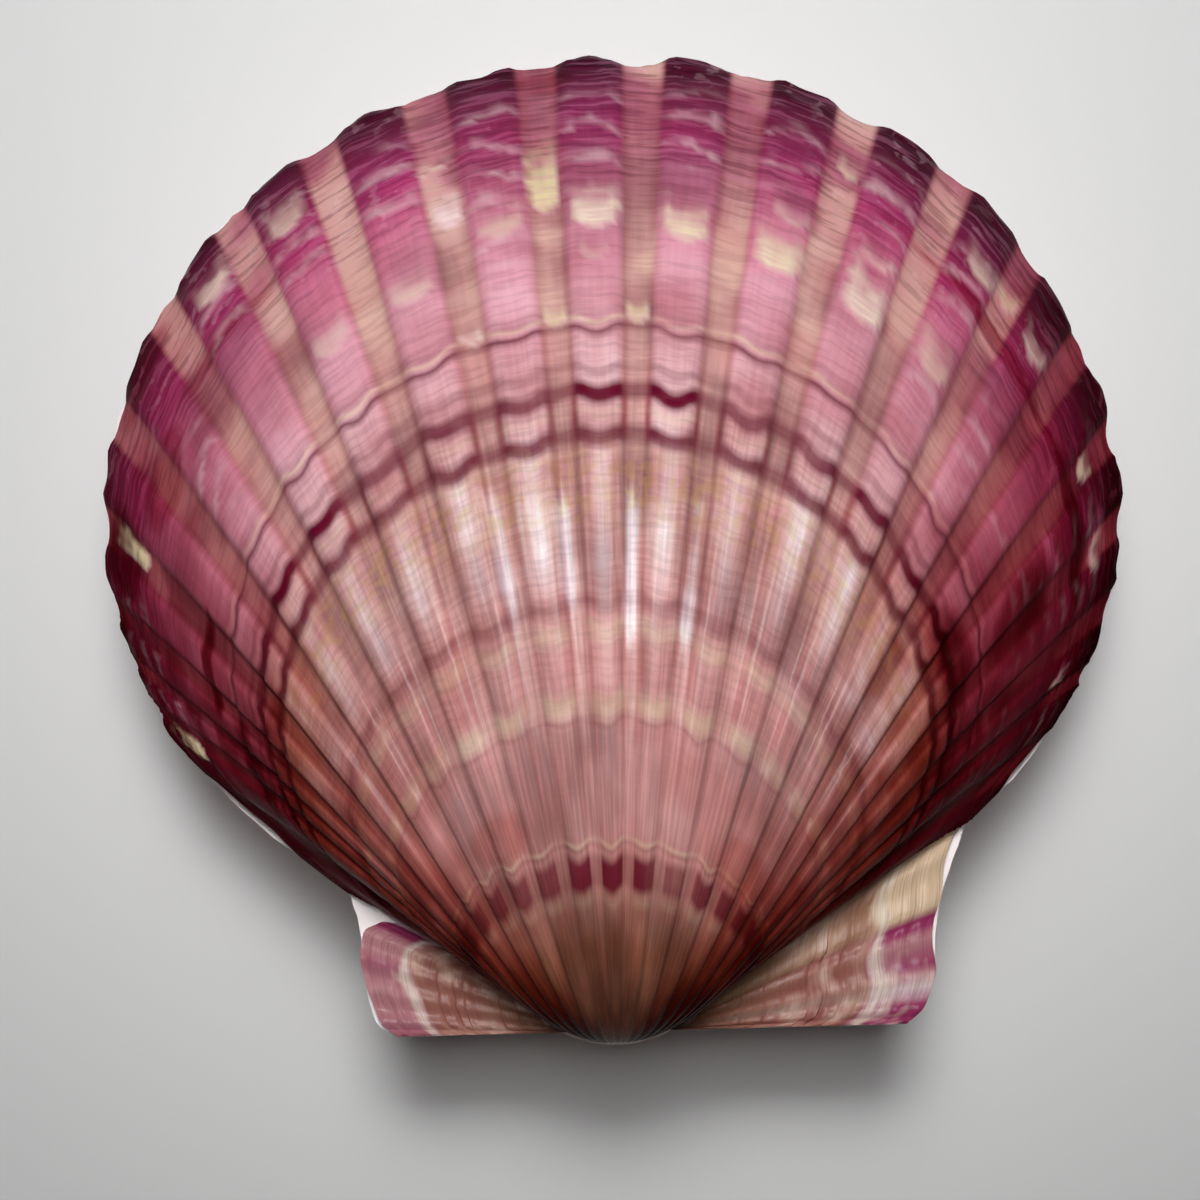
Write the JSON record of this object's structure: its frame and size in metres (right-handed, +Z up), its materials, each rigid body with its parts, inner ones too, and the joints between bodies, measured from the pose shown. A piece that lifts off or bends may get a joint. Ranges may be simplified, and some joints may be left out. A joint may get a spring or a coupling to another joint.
{
  "type": "bay scallop shell",
  "caption": "Closed bay scallop shell: two ribbed, eared valves that meet along a straight hinge, lying on the left valve.",
  "frame": {"origin": "under the middle of the whole shell, on the surface that it lies on", "axes": "+X along the hinge line, with the notched front ear at -X; +Y from the hinge towards the belly margin; +Z up through the right valve"},
  "size_m": [0.0758, 0.0738, 0.0373],
  "materials": {
    "right_valve": "waxy semi-gloss shell, rose to dark magenta",
    "left_valve": "waxy semi-gloss shell, pale with rose ribs"
  },
  "bodies": {
    "root": {"right_valve": "right_valve", "left_valve": "left_valve"}
  },
  "joints": []
}
